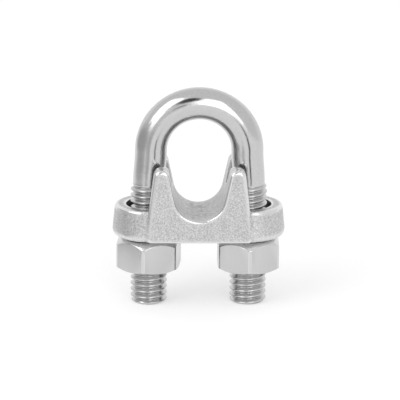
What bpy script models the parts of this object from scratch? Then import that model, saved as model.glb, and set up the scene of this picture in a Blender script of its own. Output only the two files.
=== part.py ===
"""Wire rope clip: a U-bolt, a cast saddle and two hexagon nuts, standing on the ends of its legs.

Metres, +Z up. The origin is on the ground, midway between the two legs; the rope runs along Y.
"""

import math

import bmesh
import bpy
from mathutils import Vector

MM = 0.001

# Rope that the clip is made for
ROPE_DIAMETER = 8.0 * MM
ROPE_CLEARANCE = 0.1 * MM

# U-bolt
LEG_SPACING = 16.2 * MM
LEG_TOE_IN = 0.3 * MM
WIRE_DIAMETER = 5.2 * MM
THREAD_DIAMETER = 6.0 * MM
THREAD_LENGTH = 20.3 * MM
THREAD_RUNOUT = 0.5 * MM
LEG_HEIGHT = 25.5 * MM
LEG_END_CHAMFER = 0.4 * MM

# Nuts
NUT_ACROSS_FLATS = 9.85 * MM
NUT_ACROSS_CORNERS = 11.1 * MM
NUT_HEIGHT = 5.3 * MM
NUT_TOP_FACE_DIAMETER = 9.0 * MM
NUT_BOTTOM_FACE_DIAMETER = 9.5 * MM
NUT_TOP_BEVEL = math.radians(45)
NUT_BOTTOM_BEVEL = math.radians(30)
NUT_THREAD_CLEARANCE = 0.15 * MM
NUT_COUNTERSINK = 0.35 * MM
NUT_STANDS_ABOVE_LEG_END = 5.8 * MM
NUT_TURNS = (math.radians(-10), math.radians(1))

# Saddle
SADDLE_ON_NUT_GAP = 0.3 * MM
SADDLE_DEPTH = 12.0 * MM
SEAT_ABOVE_BASE = 3.75 * MM
SEAT_FLARE = math.radians(12)
HORN_HEIGHT = 12.2 * MM
HORN_TIP_RADIUS = 1.2 * MM
HORN_TIP_INSIDE_LEG = 0.8 * MM
FOOT_BEYOND_LEG = 0.75 * MM
FOOT_CORNER_RADIUS = 0.8 * MM
FACE_EDGE_RADIUS = 0.6 * MM
SEAT_EDGE_EASE = 0.25 * MM
BASE_EDGE_EASE = 0.3 * MM
EAR_DIAMETER = 12.1 * MM
EAR_DRAFT = math.radians(6)
EAR_HEIGHT = 5.2 * MM
EAR_TOP_RADIUS = 0.5 * MM
EAR_BOTTOM_RADIUS = 1.0 * MM
EAR_HOLE_CLEARANCE = 0.7 * MM
EAR_HOLE_LIP = 0.35 * MM
EAR_INNER_PART = 0.5 * MM

# Fineness
ARC_STEP = math.radians(11)
TURNED_SIDES = 48
LEG_SPACE_SIDES = 44
WIRE_SIDES = 24
BOW_STEPS = 24
EDGE_SEGMENTS = 3
CUT_MARGIN = 2.0 * MM
WELD_DISTANCE = 0.001 * MM

STEEL_POLISHED = ((0.62, 0.62, 0.60), 0.16)
STEEL_CAST = ((0.60, 0.60, 0.58), 0.38)
STEEL_BRIGHT = ((0.66, 0.66, 0.65), 0.24)

LEG_X = (-LEG_SPACING / 2, LEG_SPACING / 2)
BOW_RADIUS = LEG_SPACING / 2 - LEG_TOE_IN
NUT_TOP = NUT_STANDS_ABOVE_LEG_END + NUT_HEIGHT
SADDLE_BASE = NUT_TOP + SADDLE_ON_NUT_GAP
SEAT_RADIUS = ROPE_DIAMETER / 2 + ROPE_CLEARANCE
SEAT_BOTTOM = SADDLE_BASE + SEAT_ABOVE_BASE
SEAT_CENTRE = SEAT_BOTTOM + SEAT_RADIUS
HORN_TIP_HALF_WIDTH = LEG_SPACING / 2 - HORN_TIP_INSIDE_LEG
FOOT_HALF_WIDTH = LEG_SPACING / 2 + FOOT_BEYOND_LEG
EAR_HOLE_RADIUS = THREAD_DIAMETER / 2 + EAR_HOLE_CLEARANCE
EAR_TOP = SADDLE_BASE + EAR_HEIGHT


def clear_scene():
    for old in list(bpy.data.objects):
        bpy.data.objects.remove(old, do_unlink=True)


def new_collection(name):
    collection = bpy.data.collections.new(name)
    bpy.context.scene.collection.children.link(collection)
    return collection


def steel(name, finish):
    """Stainless steel of that colour and roughness."""
    colour, roughness = finish
    material = bpy.data.materials.new(name)
    material.use_nodes = True
    shader = material.node_tree.nodes["Principled BSDF"]
    shader.inputs["Base Color"].default_value = (*colour, 1.0)
    shader.inputs["Metallic"].default_value = 1.0
    shader.inputs["Roughness"].default_value = roughness
    return material


def rounded(corners, closed=True):
    """An outline's points. Each corner is (across, up, radius), and an arc of that radius rounds it."""
    points = []
    for i, (across, up, radius) in enumerate(corners):
        here = Vector((across, up))
        at_end = not closed and i in (0, len(corners) - 1)
        if radius == 0 or at_end:
            points.append(here)
            continue
        before = Vector(corners[i - 1][:2])
        after = Vector(corners[(i + 1) % len(corners)][:2])
        back = (before - here).normalized()
        ahead = (after - here).normalized()
        half_angle = back.angle(ahead) / 2
        start = here + back * (radius / math.tan(half_angle))
        centre = here + (back + ahead).normalized() * (radius / math.sin(half_angle))
        sweep = math.pi - 2 * half_angle
        turn = sweep if back.cross(ahead) < 0 else -sweep
        steps = max(2, math.ceil(sweep / ARC_STEP))
        for step in range(steps + 1):
            angle = turn * step / steps
            spoke = start - centre
            turned = Vector(
                (
                    spoke.x * math.cos(angle) - spoke.y * math.sin(angle),
                    spoke.x * math.sin(angle) + spoke.y * math.cos(angle),
                )
            )
            points.append(centre + turned)
    return points


def mesh_of(obj):
    """The object's shape with its modifiers, as a mesh whose coinciding points are one."""
    bpy.context.view_layer.update()
    graph = bpy.context.evaluated_depsgraph_get()
    mesh = bpy.data.meshes.new_from_object(obj.evaluated_get(graph))
    shape = bmesh.new()
    shape.from_mesh(mesh)
    bmesh.ops.remove_doubles(shape, verts=shape.verts, dist=WELD_DISTANCE)
    shape.to_mesh(mesh)
    shape.free()
    return mesh


def as_mesh_object(obj):
    """The same object made a mesh, in the same place and collection."""
    made = bpy.data.objects.new(obj.name + "_mesh", mesh_of(obj))
    made.matrix_world = obj.matrix_world.copy()
    obj.users_collection[0].objects.link(made)
    name = obj.name
    bpy.data.objects.remove(obj, do_unlink=True)
    made.name = name
    return made


def turned(name, profile, x, collection, sides=TURNED_SIDES):
    """A shape turned about the vertical axis at x, from a profile of (radius, height) that runs downwards."""
    mesh = bpy.data.meshes.new(name)
    shape = bmesh.new()
    places = [shape.verts.new((point.x, 0, point.y)) for point in profile]
    for upper, lower in zip(places, places[1:]):
        shape.edges.new((upper, lower))
    shape.to_mesh(mesh)
    shape.free()
    obj = bpy.data.objects.new(name, mesh)
    obj.location.x = x
    collection.objects.link(obj)
    screw = obj.modifiers.new("turn", "SCREW")
    screw.steps = sides
    screw.render_steps = sides
    screw.use_merge_vertices = True
    screw.merge_threshold = WELD_DISTANCE
    return obj


def combine(obj, other, operation, solver="EXACT"):
    boolean = obj.modifiers.new(f"{operation.lower()}_{other.name}", "BOOLEAN")
    boolean.operation = operation
    boolean.solver = solver
    boolean.object = other
    other.hide_render = True
    other.display_type = "WIRE"


def shade(mesh, angle):
    mesh.shade_smooth()
    mesh.set_sharp_from_angle(angle=angle)


def make_u_bolt(parts, material):
    """One bent rod. The rolled thread is thicker than the wire, and is given its outer diameter here."""
    wire = WIRE_DIAMETER / 2
    thread = THREAD_DIAMETER / 2
    leg = [
        (0.0, thread - LEG_END_CHAMFER),
        (LEG_END_CHAMFER, thread),
        (THREAD_LENGTH - THREAD_RUNOUT, thread),
        (THREAD_LENGTH, wire),
    ]
    path = [(-LEG_SPACING / 2, height, radius) for height, radius in leg]
    for step in range(BOW_STEPS + 1):
        angle = math.pi * (1 - step / BOW_STEPS)
        path.append((BOW_RADIUS * math.cos(angle), LEG_HEIGHT + BOW_RADIUS * math.sin(angle), wire))
    path += [(LEG_SPACING / 2, height, radius) for height, radius in reversed(leg)]

    curve = bpy.data.curves.new("u_bolt", "CURVE")
    curve.dimensions = "3D"
    curve.bevel_depth = 1.0
    curve.bevel_resolution = (WIRE_SIDES - 4) // 2
    curve.use_fill_caps = True
    spline = curve.splines.new("POLY")
    spline.points.add(len(path) - 1)
    for point, (x, z, radius) in zip(spline.points, path):
        point.co = (x, 0, z, 1)
        point.radius = radius
    obj = bpy.data.objects.new("u_bolt", curve)
    parts.objects.link(obj)
    obj = as_mesh_object(obj)
    shade(obj.data, math.radians(30))
    obj.data.materials.append(material)
    return obj


def nut_mesh(cutters):
    """A hexagon trimmed by a turned form that bevels both ends, with a countersunk bore."""
    top, bottom = NUT_HEIGHT / 2, -NUT_HEIGHT / 2
    corner = NUT_ACROSS_CORNERS / 2
    top_face = NUT_TOP_FACE_DIAMETER / 2
    bottom_face = NUT_BOTTOM_FACE_DIAMETER / 2
    form = turned(
        "nut_form",
        [
            Vector((0, top)),
            Vector((top_face, top)),
            Vector((corner, top - (corner - top_face) * math.tan(NUT_TOP_BEVEL))),
            Vector((corner, bottom + (corner - bottom_face) * math.tan(NUT_BOTTOM_BEVEL))),
            Vector((bottom_face, bottom)),
            Vector((0, bottom)),
        ],
        0,
        cutters,
    )
    bore = THREAD_DIAMETER / 2 + NUT_THREAD_CLEARANCE
    mouth = bore + NUT_COUNTERSINK + CUT_MARGIN
    bore_cutter = turned(
        "nut_bore",
        [
            Vector((0, top + CUT_MARGIN)),
            Vector((mouth, top + CUT_MARGIN)),
            Vector((bore, top - NUT_COUNTERSINK)),
            Vector((bore, bottom + NUT_COUNTERSINK)),
            Vector((mouth, bottom - CUT_MARGIN)),
            Vector((0, bottom - CUT_MARGIN)),
        ],
        0,
        cutters,
    )
    mesh = bpy.data.meshes.new("nut")
    shape = bmesh.new()
    sharp_corner = NUT_ACROSS_FLATS / math.sqrt(3)
    bmesh.ops.create_cone(
        shape,
        cap_ends=True,
        segments=6,
        radius1=sharp_corner,
        radius2=sharp_corner,
        depth=NUT_HEIGHT + 2 * CUT_MARGIN,
    )
    shape.to_mesh(mesh)
    shape.free()
    blank = bpy.data.objects.new("nut_blank", mesh)
    cutters.objects.link(blank)
    combine(blank, form, "INTERSECT")
    combine(blank, bore_cutter, "DIFFERENCE")
    finished = mesh_of(blank)
    bpy.data.objects.remove(blank, do_unlink=True)
    shade(finished, math.radians(20))
    return finished


def make_nuts(parts, cutters, material):
    mesh = nut_mesh(cutters)
    mesh.materials.append(material)
    for side, x, turn in zip(("left", "right"), LEG_X, NUT_TURNS):
        nut = bpy.data.objects.new(f"nut_{side}", mesh)
        nut.location = (x, 0, NUT_STANDS_ABOVE_LEG_END + NUT_HEIGHT / 2)
        nut.rotation_euler.z = turn
        parts.objects.link(nut)


def saddle_outline(depth):
    """The front view of the saddle's middle at that distance from the mid plane.

    It is a foot, two horns and the rope's seat between them. Near the faces it shrinks, which rounds their edges.
    """
    from_face = SADDLE_DEPTH / 2 - abs(depth)
    share = max(0.0, 1 - from_face / FACE_EDGE_RADIUS)
    ease = 1 - math.sqrt(1 - share * share)
    edge = ease * FACE_EDGE_RADIUS
    top = SADDLE_BASE + HORN_HEIGHT - edge
    seat_radius = SEAT_RADIUS + ease * SEAT_EDGE_EASE
    valley = SEAT_CENTRE - seat_radius / math.sin(SEAT_FLARE)
    inner = (top - valley) * math.tan(SEAT_FLARE)
    right = [
        (FOOT_HALF_WIDTH - edge, SADDLE_BASE + ease * BASE_EDGE_EASE, FOOT_CORNER_RADIUS),
        (HORN_TIP_HALF_WIDTH - edge, top, HORN_TIP_RADIUS - edge),
        (inner, top, HORN_TIP_RADIUS - edge),
    ]
    left = [(-x, z, radius) for x, z, radius in reversed(right)]
    return rounded([*right, (0.0, valley, seat_radius), *left])


def saddle_middle(parts):
    """The horns and the foot: outlines at several depths, bridged from one face to the other."""
    edge_steps = [math.sin(math.pi / 2 * step / EDGE_SEGMENTS) for step in range(EDGE_SEGMENTS + 1)]
    face = SADDLE_DEPTH / 2
    half = [face - FACE_EDGE_RADIUS * (1 - step) for step in edge_steps]
    depths = [-depth for depth in reversed(half)] + [0.0] + half
    shape = bmesh.new()
    rings = []
    for depth in depths:
        points = [shape.verts.new((point.x, depth, point.y)) for point in saddle_outline(depth)]
        rings.append([shape.edges.new(pair) for pair in zip(points, points[1:] + points[:1])])
    for near, far in zip(rings, rings[1:]):
        bmesh.ops.bridge_loops(shape, edges=near + far)
    for ring in (rings[0], rings[-1]):
        bmesh.ops.contextual_create(shape, geom=ring)
    bmesh.ops.recalc_face_normals(shape, faces=shape.faces)
    if shape.calc_volume(signed=True) < 0:
        bmesh.ops.reverse_faces(shape, faces=shape.faces)
    mesh = bpy.data.meshes.new("saddle")
    shape.to_mesh(mesh)
    shape.free()
    saddle = bpy.data.objects.new("saddle", mesh)
    parts.objects.link(saddle)
    return saddle


def inner_half(name, x, cutters):
    """A box over an ear's inner part, which the foot takes the place of. It keeps the ear out of the seat."""
    outward = math.copysign(1, x)
    reach = EAR_DIAMETER
    mesh = bpy.data.meshes.new(name)
    shape = bmesh.new()
    bmesh.ops.create_cube(shape, size=2 * reach)
    bmesh.ops.translate(shape, vec=(x - outward * (EAR_INNER_PART + reach), 0, SADDLE_BASE), verts=shape.verts)
    shape.to_mesh(mesh)
    shape.free()
    limit = bpy.data.objects.new(name, mesh)
    cutters.objects.link(limit)
    return limit


def leg_cutter(name, x, cutters):
    """What the leg needs clear: a round hole through the ear, eased at its lower end, and on up between the horns."""
    lip = EAR_HOLE_RADIUS + EAR_HOLE_LIP
    above = SADDLE_BASE + HORN_HEIGHT + CUT_MARGIN
    profile = [
        Vector((0, above)),
        Vector((EAR_HOLE_RADIUS, above)),
        Vector((EAR_HOLE_RADIUS, SADDLE_BASE + EAR_HOLE_LIP)),
        Vector((lip + CUT_MARGIN, SADDLE_BASE - CUT_MARGIN)),
        Vector((0, SADDLE_BASE - CUT_MARGIN)),
    ]
    return turned(name, profile, x, cutters, LEG_SPACE_SIDES)


def make_saddle(parts, cutters, material):
    """The cast bridge: horns in front of and behind each leg, and an ear round it.

    Its cuts use the solver for closed meshes, because the exact one loses the body where the leg spaces are cut.
    """
    saddle = saddle_middle(parts)
    top_radius = EAR_DIAMETER / 2 - EAR_HEIGHT * math.tan(EAR_DRAFT)
    ear_profile = rounded(
        [
            (0.0, EAR_TOP, 0),
            (top_radius, EAR_TOP, EAR_TOP_RADIUS),
            (EAR_DIAMETER / 2, SADDLE_BASE, EAR_BOTTOM_RADIUS),
            (0.0, SADDLE_BASE, 0),
        ],
        closed=False,
    )
    sides = list(zip(("left", "right"), LEG_X))
    for side, x in sides:
        ear = turned(f"ear_{side}", ear_profile, x, cutters)
        combine(ear, inner_half(f"ear_limit_{side}", x, cutters), "DIFFERENCE")
        combine(saddle, ear, "UNION", "MANIFOLD")
    for side, x in sides:
        combine(saddle, leg_cutter(f"leg_space_{side}", x, cutters), "DIFFERENCE", "MANIFOLD")
    saddle.data.materials.append(material)
    return saddle


def main():
    clear_scene()
    parts = new_collection("wire_rope_clip")
    cutters = new_collection("cutters")
    make_u_bolt(parts, steel("polished_stainless_steel", STEEL_POLISHED))
    make_nuts(parts, cutters, steel("bright_stainless_steel", STEEL_BRIGHT))
    make_saddle(parts, cutters, steel("cast_stainless_steel", STEEL_CAST))


main()
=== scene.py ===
"""Looks of the wire rope clip: threaded legs, a tumbled cast saddle, chamfered nuts and a plain studio."""

import math

import bmesh
import bpy
import numpy as np
from mathutils import Matrix, Quaternion, Vector


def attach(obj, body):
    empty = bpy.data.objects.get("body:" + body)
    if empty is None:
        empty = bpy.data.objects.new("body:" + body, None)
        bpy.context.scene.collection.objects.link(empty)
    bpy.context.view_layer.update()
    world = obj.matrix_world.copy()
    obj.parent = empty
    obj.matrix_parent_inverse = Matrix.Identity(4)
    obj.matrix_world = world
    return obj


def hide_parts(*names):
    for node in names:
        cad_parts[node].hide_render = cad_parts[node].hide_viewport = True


MM = 0.001

# Sizes of the U-bolt, as in the part's source
LEG_X = 8.1 * MM
BOW_RADIUS = 7.8 * MM
LEG_HEIGHT = 25.5 * MM
WIRE_RADIUS = 2.6 * MM
THREAD_TOP = 20.2 * MM
THREAD_RADIUS = 3.0 * MM
LEG_END_CHAMFER = 0.4 * MM

# Rolled M6 thread: one turn a millimetre, with a round root and a softened crest
PITCH = 1.0 * MM
THREAD_DEPTH = 0.56 * MM
THREAD_RUNOUT = 0.9 * MM
THREAD_STARTS = {"left": 0.05, "right": 0.2}
THREAD_PLAY = 0.06 * MM

# Sizes of the nuts, as in the part's source
NUT_ACROSS_FLATS = 9.85 * MM
NUT_ACROSS_CORNERS = 11.1 * MM
NUT_BASE = 5.8 * MM
NUT_HEIGHT = 5.3 * MM
NUT_TOP = NUT_BASE + NUT_HEIGHT
NUT_TOP_FACE = 9.0 * MM
NUT_BOTTOM_FACE = 9.5 * MM
NUT_TOP_BEVEL = math.radians(45)
NUT_BOTTOM_BEVEL = math.radians(30)
NUT_TURNS = {"left": math.radians(-10), "right": math.radians(1)}

# Finer forms of the nuts: the countersink, and the edges that are rounded off or stay a crease
NUT_MOUTH = 6.7 * MM
NUT_EDGE = 0.09 * MM
NUT_SHARP = math.radians(15)
NUT_CREASE = math.radians(32)
CUTTER_REACH = 1.0 * MM

# Casting of the saddle
CAST_VOXEL = 0.13 * MM
CAST_SMOOTHING = 3

# Fineness of the round forms
ROD_SIDES = 48
LEG_STEPS = 12
BOW_STEPS = 72
FORM_SIDES = 120
MOUTH_SIDES = 96

# How near two points lie that become one
TURNED_SEAM = 0.001 * MM
THREAD_SEAM = 0.002 * MM
ROD_SEAM = 0.004 * MM
RING_SEAM = 0.02 * MM

# How near a plane a cut counts as lying in it, in metres
PLANE_TOLERANCE = 1e-8
EDGE_TOLERANCE = 1e-7

# Camera at the photo's viewing angle
AZIMUTH = math.radians(-1.6)
ELEVATION = math.radians(16.5)
ROLL = math.radians(0.5)
CAMERA_DISTANCE = 0.450
AIM = Vector((0, 0, 0.0165))
LENS = 249.1
SHIFT_X = 0.00307
SHIFT_Y = 0.00837

# Studio, in metres
LAMP_DISTANCE = 1.2
FLAG_DISTANCE = 1.1
TENT_RADIUS = 1.6
FLOOR_HALF = 3.0


def colour(code):
    """An sRGB hex colour as linear red, green, blue and alpha."""
    parts = [int(code[i : i + 2], 16) / 255 for i in (1, 3, 5)]
    linear = [p / 12.92 if p <= 0.04045 else ((p + 0.055) / 1.055) ** 2.4 for p in parts]
    return (*linear, 1.0)


def smooth_step(share):
    """The share, 0 to 1, with a soft start and end."""
    return share * share * (3 - 2 * share)


def add(tree, kind, settings=None, **sockets):
    """A new node.

    A socket is given as a value or as another node's output. Its name has underscores for spaces, and a
    number at its end picks the socket of that number.
    """
    node = tree.nodes.new(kind)
    for name, value in (settings or {}).items():
        setattr(node, name, value)
    for name, value in sockets.items():
        number = name.rpartition("_")[2]
        socket = node.inputs[int(number)] if number.isdigit() else node.inputs[name.replace("_", " ")]
        if isinstance(value, bpy.types.NodeSocket):
            tree.links.new(value, socket)
        else:
            socket.default_value = value
    return node


def empty_material(name):
    material = bpy.data.materials.new(name)
    material.use_nodes = True
    material.node_tree.nodes.clear()
    return material, material.node_tree


def place_on(tree):
    """The place on the object itself, which moves with it."""
    return add(tree, "ShaderNodeTexCoord").outputs["Object"]


def noise(tree, place, scale, detail, roughness=0.5):
    node = add(tree, "ShaderNodeTexNoise", Vector=place, Scale=scale, Detail=detail, Roughness=roughness)
    return node.outputs[0]


def marked(tree, name):
    """The mark that wear() leaves on a mesh under that name."""
    return add(tree, "ShaderNodeAttribute", {"attribute_name": name}).outputs["Fac"]


def between(tree, factor, low, high):
    """The factor, 0 to 1, carried over to the range from low to high."""
    return add(tree, "ShaderNodeMapRange", Value=factor, To_Min=low, To_Max=high).outputs[0]


def stretched(tree, factor, low, high):
    """0 where the factor is low or less, 1 where it is high or more, and even in between."""
    return add(tree, "ShaderNodeMapRange", Value=factor, From_Min=low, From_Max=high).outputs[0]


def worked_out(tree, operation, first, second):
    return add(tree, "ShaderNodeMath", {"operation": operation}, Value_0=first, Value_1=second).outputs[0]


def mixed(tree, factor, first, second, blend="MIX"):
    """Two colours mixed by the factor. Each is a hex code or another node's output."""
    first, second = (colour(side) if isinstance(side, str) else side for side in (first, second))
    settings = {"data_type": "RGBA", "blend_type": blend}
    return add(tree, "ShaderNodeMix", settings, Factor=factor, A_6=first, B_7=second).outputs[2]


def metal(tree, **sockets):
    """Ends a material in bare metal."""
    shader = add(tree, "ShaderNodeBsdfPrincipled", Metallic=1.0, **sockets)
    add(tree, "ShaderNodeOutputMaterial", Surface=shader.outputs[0])


def polished_stainless():
    """Bright drawn rod, taken to be 316 stainless, bent cold and electropolished.

    It mirrors the studio softly. A slight orange peel breaks the reflections, and the roots of the rolled
    thread are painted darker, as painted shade in the hollows.
    """
    material, tree = empty_material("electropolished_316_stainless")
    place = place_on(tree)
    peel = noise(tree, place, 620.0, 2.0)
    fine = noise(tree, place, 4200.0, 3.0)
    haze = noise(tree, place, 210.0, 3.0)
    low = add(tree, "ShaderNodeBump", Strength=0.16, Distance=0.12 * MM, Height=peel)
    high = add(tree, "ShaderNodeBump", Strength=0.16, Distance=0.02 * MM, Height=fine, Normal=low.outputs[0])
    drawn = mixed(tree, stretched(tree, fine, 0.3, 0.7), "#C0C0C0", "#CBCBCB")
    metal(
        tree,
        # Painted shade: the thread roots and other hollows are darkened towards #484848.
        Base_Color=mixed(tree, marked(tree, "painted_hollow_shade"), drawn, "#484848"),
        Roughness=between(tree, haze, 0.13, 0.21),
        Normal=high.outputs[0],
    )
    return material


def tumbled_casting():
    """Taken to be investment-cast 316 stainless, tumbled in ceramic chips.

    The mould leaves a fine grain on the faces, and tumbling rubs the edges and horn tips bright. The seat and
    the inside corners are painted darker in patches, as painted shade in the hollows.
    """
    material, tree = empty_material("tumbled_cast_316_stainless")
    place = place_on(tree)
    worn = marked(tree, "rubbed")
    grain = noise(tree, place, 5200.0, 2.0, 0.6)
    pits = add(tree, "ShaderNodeTexVoronoi", Vector=place, Scale=3600.0, Randomness=1.0).outputs["Distance"]
    relief = worked_out(tree, "ADD", grain, pits)
    strength = between(tree, worn, 0.42, 0.06)
    bump = add(tree, "ShaderNodeBump", Strength=strength, Distance=0.05 * MM, Height=relief)
    speckled = mixed(tree, stretched(tree, grain, 0.3, 0.7), "#A6A6A6", "#E6E6E6")
    clouds = mixed(tree, noise(tree, place, 420.0, 4.0), "#D5D5D5", "#FFFFFF")
    faces = mixed(tree, 0.35, speckled, clouds, "MULTIPLY")
    bright = mixed(tree, worn, faces, "#E2E2E2")
    patches = stretched(tree, noise(tree, place, 1300.0, 4.0, 0.7), 0.42, 0.58)
    # Painted shade: the seat and the inside corners are darkened in patches towards #7C7C7C.
    seat_painted_shade = worked_out(tree, "MULTIPLY", marked(tree, "painted_hollow_shade"), patches)
    metal(
        tree,
        Base_Color=mixed(tree, seat_painted_shade, bright, "#7C7C7C", "MULTIPLY"),
        Roughness=between(tree, worn, 0.46, 0.20),
        Normal=bump.outputs[0],
    )
    return material


def satin_nut_steel():
    """Taken to be cold-formed A4 stainless: satin flats from the die, and brighter rubbed edges."""
    material, tree = empty_material("cold_formed_a4_stainless")
    place = place_on(tree)
    worn = marked(tree, "rubbed")
    along = add(tree, "ShaderNodeMapping", Vector=place, Scale=(1.0, 1.0, 0.22)).outputs[0]
    drawn = noise(tree, along, 2600.0, 3.0)
    bump = add(tree, "ShaderNodeBump", Strength=0.10, Distance=0.03 * MM, Height=drawn)
    flats = mixed(tree, noise(tree, place, 380.0, 3.0), "#B9B9B9", "#C5C5C5")
    metal(
        tree,
        Base_Color=mixed(tree, worn, flats, "#D8D8D8"),
        Roughness=between(tree, worn, 0.30, 0.16),
        Normal=bump.outputs[0],
    )
    return material


def in_scene(name, data):
    """A new object with that data, at the origin."""
    obj = bpy.data.objects.new(name, data)
    bpy.context.scene.collection.objects.link(obj)
    return obj


def object_from(shape, name, material):
    """The finished bmesh as an object at the origin, shaded smooth."""
    bmesh.ops.recalc_face_normals(shape, faces=shape.faces)
    mesh = bpy.data.meshes.new(name)
    shape.to_mesh(mesh)
    shape.free()
    mesh.shade_smooth()
    mesh.materials.append(material)
    return in_scene(name, mesh)


def applied(obj, modifiers):
    """A new mesh of the object with those modifiers, each a kind and its settings."""
    for kind, settings in modifiers:
        modifier = obj.modifiers.new(kind.lower(), kind)
        for name, value in settings.items():
            setattr(modifier, name, value)
    bpy.context.view_layer.update()
    graph = bpy.context.evaluated_depsgraph_get()
    mesh = bpy.data.meshes.new_from_object(obj.evaluated_get(graph))
    obj.modifiers.clear()
    return mesh


def thread_outline(extra=0.0):
    """Half a turn's profile, from root to crest, with 60 degrees between the flanks.

    Each point is a share of the pitch and a radius.
    """
    crest = THREAD_RADIUS + extra
    root = crest - THREAD_DEPTH
    return [
        (0.0, root),
        (0.07, root + 0.02 * MM),
        (0.15, root + 0.10 * MM),
        (0.35, crest - 0.115 * MM),
        (0.42, crest - 0.025 * MM),
        (0.50, crest),
    ]


def spun_thread(shape, x, low, high, begins, extra=0.0):
    """A right-hand thread about the leg at x, cut flat at both heights. begins is a share of a turn."""
    half = thread_outline(extra)
    profile = half + [(1 - share, radius) for share, radius in reversed(half[:-1])]
    start = (math.floor(low / PITCH) - 2 + begins) * PITCH
    points = [shape.verts.new((x + radius, 0, start + share * PITCH)) for share, radius in profile]
    edges = [shape.edges.new(pair) for pair in zip(points, points[1:])]
    turns = math.ceil((high - start) / PITCH) + 1
    bmesh.ops.spin(
        shape,
        geom=points + edges,
        cent=(x, 0, 0),
        axis=(0, 0, 1),
        dvec=(0, 0, PITCH / ROD_SIDES),
        angle=2 * math.pi * turns,
        steps=ROD_SIDES * turns,
    )
    bmesh.ops.remove_doubles(shape, verts=shape.verts, dist=THREAD_SEAM)
    for height, normal in ((low, (0, 0, -1)), (high, (0, 0, 1))):
        bmesh.ops.bisect_plane(
            shape,
            geom=shape.verts[:] + shape.edges[:] + shape.faces[:],
            dist=PLANE_TOLERANCE,
            plane_co=(0, 0, height),
            plane_no=normal,
            clear_outer=True,
        )


def open_edges(shape, height):
    """The edges of the hole that a flat cut at that height left."""
    rims = [edge for edge in shape.edges if edge.is_boundary]
    return [edge for edge in rims if all(abs(v.co.z - height) < EDGE_TOLERANCE for v in edge.verts)]


def onto_columns(shape, x, height):
    """Moves the ring at that height onto the thread's own columns, so that the smooth rod can join it."""
    ring = {vert for edge in open_edges(shape, height) for vert in edge.verts}
    for vert in ring:
        angle = math.atan2(vert.co.y, vert.co.x - x)
        angle = round(angle / (2 * math.pi) * ROD_SIDES) * 2 * math.pi / ROD_SIDES
        vert.co.x = x + WIRE_RADIUS * math.cos(angle)
        vert.co.y = WIRE_RADIUS * math.sin(angle)
    bmesh.ops.remove_doubles(shape, verts=list(ring), dist=RING_SEAM)


def threaded_leg(x, begins):
    """One leg's thread, chamfered at the end and run out into the rod at the top."""
    shape = bmesh.new()
    spun_thread(shape, x, 0.0, THREAD_TOP, begins)
    for vert in shape.verts:
        arm = Vector((vert.co.x - x, vert.co.y))
        radius = arm.length
        depth = smooth_step(min(1.0, (THREAD_TOP - vert.co.z) / THREAD_RUNOUT))
        wanted = WIRE_RADIUS + (radius - WIRE_RADIUS) * depth
        wanted = min(wanted, THREAD_RADIUS - LEG_END_CHAMFER + vert.co.z)
        vert.co.x = x + arm.x * wanted / radius
        vert.co.y = arm.y * wanted / radius
    onto_columns(shape, x, THREAD_TOP)
    bmesh.ops.contextual_create(shape, geom=open_edges(shape, 0.0))
    return shape


def shaft(shape, edges, rise, toe):
    """Draws the ring of edges on by rise, and sideways by toe with a soft start and end."""
    for step in range(LEG_STEPS):
        aside = smooth_step((step + 1) / LEG_STEPS) - smooth_step(step / LEG_STEPS)
        grown = bmesh.ops.extrude_edge_only(shape, edges=edges)["geom"]
        verts = [item for item in grown if isinstance(item, bmesh.types.BMVert)]
        edges = [item for item in grown if isinstance(item, bmesh.types.BMEdge) and item.is_boundary]
        bmesh.ops.translate(shape, verts=verts, vec=(toe * aside, 0, rise / LEG_STEPS))
    return edges


def u_bolt(material):
    """One rod: both threaded legs and the smooth bow between them, joined ring to ring."""
    shape = bmesh.new()
    ring = bmesh.ops.create_circle(shape, cap_ends=False, segments=ROD_SIDES, radius=WIRE_RADIUS)["verts"]
    bmesh.ops.translate(shape, verts=ring, vec=(-LEG_X, 0, THREAD_TOP))
    toe = LEG_X - BOW_RADIUS
    edges = shaft(shape, shape.edges[:], LEG_HEIGHT - THREAD_TOP, toe)
    verts = list({vert for edge in edges for vert in edge.verts})
    bowed = bmesh.ops.spin(
        shape,
        geom=verts + edges,
        cent=(0, 0, LEG_HEIGHT),
        axis=(0, 1, 0),
        angle=math.pi,
        steps=BOW_STEPS,
    )["geom_last"]
    edges = [item for item in bowed if isinstance(item, bmesh.types.BMEdge)]
    shaft(shape, edges, THREAD_TOP - LEG_HEIGHT, toe)
    for side, x in (("left", -LEG_X), ("right", LEG_X)):
        leg = threaded_leg(x, THREAD_STARTS[side])
        mesh = bpy.data.meshes.new("leg")
        leg.to_mesh(mesh)
        leg.free()
        shape.from_mesh(mesh)
    bmesh.ops.remove_doubles(shape, verts=shape.verts, dist=ROD_SEAM)
    return object_from(shape, "threaded_u_bolt", material)


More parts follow.
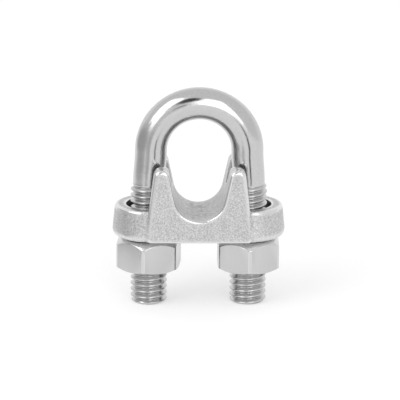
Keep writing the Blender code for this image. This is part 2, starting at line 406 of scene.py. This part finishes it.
def wear_and_painted_shade(obj, reach, full, wide, deep):
    """Marks the edges that stand out, which get rubbed bright, and the hollows, which get darkened as painted
    shade.

    Each point is compared with a copy smoothed reach times for the edges and wide times for the hollows. full
    is how far a fully rubbed edge stands proud, and deep is how far a hollow lies back for the full painted
    shade.
    """
    mesh = obj.data
    count = len(mesh.vertices)
    points = np.empty(count * 3, np.float32)
    mesh.vertices.foreach_get("co", points)
    points = points.reshape(-1, 3).astype(float)
    normals = np.empty(count * 3, np.float32)
    mesh.vertex_normals.foreach_get("vector", normals)
    normals = normals.reshape(-1, 3)
    ends = np.empty(len(mesh.edges) * 2, np.int32)
    mesh.edges.foreach_get("vertices", ends)
    ends = ends.reshape(-1, 2)
    links = np.maximum(np.bincount(ends.ravel(), minlength=count), 1)
    here = np.concatenate((ends[:, 0], ends[:, 1]))
    there = np.concatenate((ends[:, 1], ends[:, 0]))

    def proud(rounds):
        soft = points.copy()
        for _ in range(rounds):
            sums = [np.bincount(here, weights=soft[there, axis], minlength=count) for axis in range(3)]
            soft = np.stack(sums, axis=1) / links[:, None]
        return ((points - soft) * normals).sum(axis=1)

    # rubbed marks wear on the edges; the hollow mark is painted shade, which darkens the hollows where shade
    # falls.
    for name, share in (("rubbed", proud(reach) / full), ("painted_hollow_shade", -proud(wide) / deep)):
        share = smooth_step(np.clip(share, 0, 1))
        attribute = mesh.attributes.new(name, "FLOAT", "POINT")
        attribute.data.foreach_set("value", share.astype(np.float32))


def cast_saddle(node, material):
    """The saddle as it leaves the mould: one skin over the CAD solid, with its corners softened.

    The wall between the seat and each leg's hole thins out to an edge that the voxels are too coarse for. The
    skin comes out stepped there, down to 0.6 mm below the solid's edge.
    """
    skin = in_scene("skin", node.data.copy())
    mesh = applied(
        skin,
        [
            ("REMESH", {"mode": "VOXEL", "voxel_size": CAST_VOXEL, "use_smooth_shade": True}),
            ("SMOOTH", {"factor": 0.5, "iterations": CAST_SMOOTHING}),
        ],
    )
    bpy.data.objects.remove(skin)
    mesh.materials.clear()
    mesh.materials.append(material)
    mesh.shade_smooth()
    saddle = in_scene("cast_saddle", mesh)
    wear_and_painted_shade(saddle, reach=14, full=0.075 * MM, wide=90, deep=0.16 * MM)
    return saddle


def turned(profile, x, sides):
    """A solid turned about the leg at x from a profile of radius and height."""
    shape = bmesh.new()
    points = [shape.verts.new((x + radius, 0, height)) for radius, height in profile]
    edges = [shape.edges.new(pair) for pair in zip(points, points[1:])]
    bmesh.ops.spin(
        shape,
        geom=points + edges,
        cent=(x, 0, 0),
        axis=(0, 0, 1),
        angle=2 * math.pi,
        steps=sides,
        use_merge=True,
    )
    bmesh.ops.remove_doubles(shape, verts=shape.verts, dist=TURNED_SEAM)
    return shape


def nut_form(x, material):
    """The turned form that chamfers a nut's corners at both ends."""
    corner = NUT_ACROSS_CORNERS / 2
    top_face, bottom_face = NUT_TOP_FACE / 2, NUT_BOTTOM_FACE / 2
    profile = [
        (0, NUT_TOP),
        (top_face, NUT_TOP),
        (corner, NUT_TOP - (corner - top_face) * math.tan(NUT_TOP_BEVEL)),
        (corner, NUT_BASE + (corner - bottom_face) * math.tan(NUT_BOTTOM_BEVEL)),
        (bottom_face, NUT_BASE),
        (0, NUT_BASE),
    ]
    return object_from(turned(profile, x, FORM_SIDES), "nut_form", material)


def nut_mouths(x, material):
    """The turned cutter that countersinks a nut's bore at both ends."""
    mouth = NUT_MOUTH / 2
    root = THREAD_RADIUS - THREAD_DEPTH
    profile = [
        (0, NUT_TOP + CUTTER_REACH),
        (mouth + CUTTER_REACH, NUT_TOP + CUTTER_REACH),
        (root, NUT_TOP - (mouth - root)),
        (root, NUT_BASE + (mouth - root)),
        (mouth + CUTTER_REACH, NUT_BASE - CUTTER_REACH),
        (0, NUT_BASE - CUTTER_REACH),
    ]
    return object_from(turned(profile, x, MOUTH_SIDES), "nut_mouths", material)


def nut_tap(side, x, material):
    """The cutter for a nut's thread. It begins as its leg's does, so that the turns meet."""
    low, high = NUT_BASE - CUTTER_REACH, NUT_TOP + CUTTER_REACH
    shape = bmesh.new()
    spun_thread(shape, x, low, high, THREAD_STARTS[side], THREAD_PLAY)
    for height in (low, high):
        bmesh.ops.contextual_create(shape, geom=open_edges(shape, height))
    return object_from(shape, "nut_tap", material)


def nut_blank(side, x, material):
    """The six flats, reaching past the nut at both ends."""
    shape = bmesh.new()
    blank = bmesh.ops.create_cone(
        shape,
        cap_ends=True,
        segments=6,
        radius1=NUT_ACROSS_FLATS / math.sqrt(3),
        radius2=NUT_ACROSS_FLATS / math.sqrt(3),
        depth=NUT_HEIGHT + 2 * CUTTER_REACH,
    )["verts"]
    bmesh.ops.rotate(shape, verts=blank, cent=(0, 0, 0), matrix=Matrix.Rotation(NUT_TURNS[side], 3, "Z"))
    bmesh.ops.translate(shape, verts=blank, vec=(x, 0, (NUT_BASE + NUT_TOP) / 2))
    return object_from(shape, f"hexagon_nut_{side}", material)


def ease_edges(mesh):
    """Rounds off the nut's sharp edges."""
    shape = bmesh.new()
    shape.from_mesh(mesh)
    bmesh.ops.remove_doubles(shape, verts=shape.verts, dist=TURNED_SEAM)
    sharp = [e for e in shape.edges if len(e.link_faces) == 2 and e.calc_face_angle() > NUT_SHARP]
    bmesh.ops.bevel(
        shape,
        geom=sharp,
        offset=NUT_EDGE,
        segments=2,
        profile=0.5,
        affect="EDGES",
        material=-1,
        clamp_overlap=True,
    )
    shape.to_mesh(mesh)
    shape.free()


def hexagon_nut(side, x, material):
    """A hexagon nut: chamfered corners, eased edges, countersunk mouths and the thread cut through it."""
    form = nut_form(x, material)
    cutters = (nut_mouths(x, material), nut_tap(side, x, material))
    nut = nut_blank(side, x, material)
    nut.data = applied(nut, [("BOOLEAN", {"operation": "INTERSECT", "solver": "EXACT", "object": form})])
    ease_edges(nut.data)
    cuts = [{"operation": "DIFFERENCE", "solver": "EXACT", "object": cutter} for cutter in cutters]
    nut.data = applied(nut, [("BOOLEAN", cut) for cut in cuts])
    for helper in (form, *cutters):
        bpy.data.objects.remove(helper)
    nut.data.shade_smooth()
    nut.data.set_sharp_from_angle(angle=NUT_CREASE)
    nut.data = applied(nut, [("WEIGHTED_NORMAL", {"mode": "FACE_AREA", "weight": 100, "keep_sharp": True})])
    return nut


def light_path(tree):
    """The light path's outputs, and a factor that is 1 for camera rays and reflections and 0 for the rest."""
    path = add(tree, "ShaderNodeLightPath").outputs
    return path, worked_out(tree, "MAXIMUM", path["Is Camera Ray"], path["Is Glossy Ray"])


def studio_floor():
    """Matt white board. It shows as white, and keeps a faint shadow under the clip."""
    material, tree = empty_material("matt_white_board")
    _, seen = light_path(tree)
    board = add(tree, "ShaderNodeBsdfDiffuse", Color=colour("#D2D2D2"))
    lift = add(tree, "ShaderNodeEmission", Color=(1, 1, 1, 1), Strength=between(tree, seen, 0.0, 0.41))
    both = add(tree, "ShaderNodeAddShader", Shader_0=board.outputs[0], Shader_1=lift.outputs[0])
    add(tree, "ShaderNodeOutputMaterial", Surface=both.outputs[0])
    shape = bmesh.new()
    bmesh.ops.create_grid(shape, x_segments=1, y_segments=1, size=FLOOR_HALF)
    floor = object_from(shape, "floor", material)


def studio_world():
    """White all round for the camera and for reflections, and a plain level of light for the rest."""
    world = bpy.data.worlds.new("white_studio")
    world.use_nodes = True
    tree = world.node_tree
    tree.nodes.clear()
    path, seen = light_path(tree)
    clear = worked_out(tree, "MAXIMUM", seen, path["Is Transmission Ray"])
    sky = add(tree, "ShaderNodeBackground", Color=(1, 1, 1, 1), Strength=between(tree, clear, 0.75, 1.0))
    add(tree, "ShaderNodeOutputWorld", Surface=sky.outputs[0])
    bpy.context.scene.world = world


def around(azimuth, elevation, distance):
    """A place seen from the clip: azimuth 0 is the camera's side, and it grows to the right."""
    a, e = math.radians(azimuth), math.radians(elevation)
    return AIM + distance * Vector((math.sin(a) * math.cos(e), -math.cos(a) * math.cos(e), math.sin(e)))


def put(obj, place):
    """Moves the object there and turns its -Z to the clip."""
    obj.location = place
    obj.rotation_mode = "QUATERNION"
    obj.rotation_quaternion = (AIM - place).to_track_quat("-Z", "Y")


def softbox(name, place, size, radiance):
    """A rectangular lamp of that width, height and radiance, unseen by the camera."""
    lamp = bpy.data.lights.new(name, "AREA")
    lamp.shape = "RECTANGLE"
    lamp.size, lamp.size_y = size
    lamp.energy = radiance * math.pi * size[0] * size[1]
    obj = in_scene(name, lamp)
    put(obj, place)
    obj.visible_camera = False


def unseen(obj):
    """Hides the object from all but the metal's reflections."""
    for rays in ("visible_camera", "visible_diffuse", "visible_shadow", "visible_transmission"):
        setattr(obj, rays, False)


def flag(name, place, size, grey, firm):
    """A dark or grey oval card of that width and height, which only the metal's reflections show.

    It is solid out to the share of its size that firm gives, and thins out from there to its edge.
    """
    material, tree = empty_material(name + "_felt")
    width, height = size
    cloth = add(tree, "ShaderNodeEmission", Color=colour(grey), Strength=1.0)
    round_card = (2 / width, 2 / height, 1)
    spread = add(tree, "ShaderNodeMapping", Vector=place_on(tree), Scale=round_card).outputs[0]
    out = add(tree, "ShaderNodeVectorMath", {"operation": "LENGTH"}, Vector=spread).outputs["Value"]
    softly = {"interpolation_type": "SMOOTHSTEP"}
    thin = add(tree, "ShaderNodeMapRange", softly, Value=out, From_Min=firm, From_Max=1.0).outputs[0]
    clear = add(tree, "ShaderNodeBsdfTransparent")
    card = add(
        tree,
        "ShaderNodeMixShader",
        Fac=thin,
        Shader_1=cloth.outputs[0],
        Shader_2=clear.outputs[0],
    )
    add(tree, "ShaderNodeOutputMaterial", Surface=card.outputs[0])
    shape = bmesh.new()
    corners = bmesh.ops.create_grid(shape, x_segments=1, y_segments=1, size=0.5)["verts"]
    bmesh.ops.scale(shape, verts=corners, vec=(width, height, 1))
    obj = object_from(shape, name, material)
    put(obj, place)
    unseen(obj)


def light_tent():
    """Pale cloth before and above the clip, round the camera and the lamps, seen only by the metal."""
    material, tree = empty_material("tent_cloth")
    cloth = add(tree, "ShaderNodeEmission", Color=colour("#EEEEEE"), Strength=1.0)
    add(tree, "ShaderNodeOutputMaterial", Surface=cloth.outputs[0])
    shape = bmesh.new()
    bmesh.ops.create_uvsphere(shape, u_segments=48, v_segments=24, radius=TENT_RADIUS)
    bmesh.ops.bisect_plane(
        shape,
        geom=shape.verts[:] + shape.edges[:] + shape.faces[:],
        plane_co=(0, 0.1, 0),
        plane_no=(0, 1, -1),
        clear_outer=True,
    )
    tent = object_from(shape, "light_tent", material)
    unseen(tent)


def studio():
    studio_world()
    studio_floor()
    light_tent()
    softbox("key_softbox", around(-58, 41, LAMP_DISTANCE), (0.74, 0.90), radiance=1.7)
    softbox("low_softbox", around(-45, 14, LAMP_DISTANCE), (0.50, 0.50), radiance=1.7)
    softbox("fill_softbox", around(16, 25, LAMP_DISTANCE), (0.72, 0.95), radiance=1.6)
    flag("flag_above_camera", around(-11, 41, FLAG_DISTANCE), (0.56, 0.58), "#202020", firm=0.75)
    flag("camera_body", around(-9, 13, FLAG_DISTANCE), (0.18, 0.20), "#303030", firm=0.6)
    flag("card_at_left", Vector((-0.058, -0.012, 0.024)), (0.17, 0.060), "#BCBCBC", firm=0.3)
    flag("card_low_at_left", Vector((-0.042, -0.014, 0.0045)), (0.040, 0.011), "#A4A4A4", firm=0.6)
    flag("card_in_front_at_left", Vector((-0.031, -0.060, 0.014)), (0.042, 0.038), "#CACACA", firm=0.4)
    flag("card_at_right", Vector((0.022, -0.060, 0.011)), (0.014, 0.036), "#202020", firm=0.6)


def camera():
    lens = bpy.data.cameras.new("camera")
    lens.lens = LENS
    lens.sensor_width = 36.0
    lens.shift_x = SHIFT_X
    lens.shift_y = SHIFT_Y
    lens.clip_start = 0.01
    lens.clip_end = 20.0
    obj = in_scene("camera", lens)
    away = Vector(
        (
            math.sin(AZIMUTH) * math.cos(ELEVATION),
            -math.cos(AZIMUTH) * math.cos(ELEVATION),
            math.sin(ELEVATION),
        )
    )
    obj.location = AIM + away * CAMERA_DISTANCE
    obj.rotation_mode = "QUATERNION"
    obj.rotation_quaternion = Quaternion(-away, -ROLL) @ (-away).to_track_quat("-Z", "Y")
    bpy.context.scene.camera = obj


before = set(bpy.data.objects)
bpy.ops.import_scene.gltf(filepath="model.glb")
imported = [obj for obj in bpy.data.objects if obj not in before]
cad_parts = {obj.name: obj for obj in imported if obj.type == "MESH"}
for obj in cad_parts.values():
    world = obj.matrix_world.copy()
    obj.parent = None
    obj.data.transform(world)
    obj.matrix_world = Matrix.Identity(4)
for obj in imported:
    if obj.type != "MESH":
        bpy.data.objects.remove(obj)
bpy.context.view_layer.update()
bpy.context.scene.view_settings.view_transform = "Standard"
camera()
studio()

rod = u_bolt(polished_stainless())
wear_and_painted_shade(rod, reach=3, full=0.10 * MM, wide=3, deep=0.045 * MM)
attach(rod, "u_bolt")
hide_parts("u_bolt")

saddle = cast_saddle(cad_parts["saddle"], tumbled_casting())
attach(saddle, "saddle")
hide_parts("saddle")

nut_steel = satin_nut_steel()
for side, leg_x in (("left", -LEG_X), ("right", LEG_X)):
    nut = hexagon_nut(side, leg_x, nut_steel)
    wear_and_painted_shade(nut, reach=3, full=0.05 * MM, wide=3, deep=0.05 * MM)
    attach(nut, f"nut_{side}")
    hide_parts(f"nut_{side}")
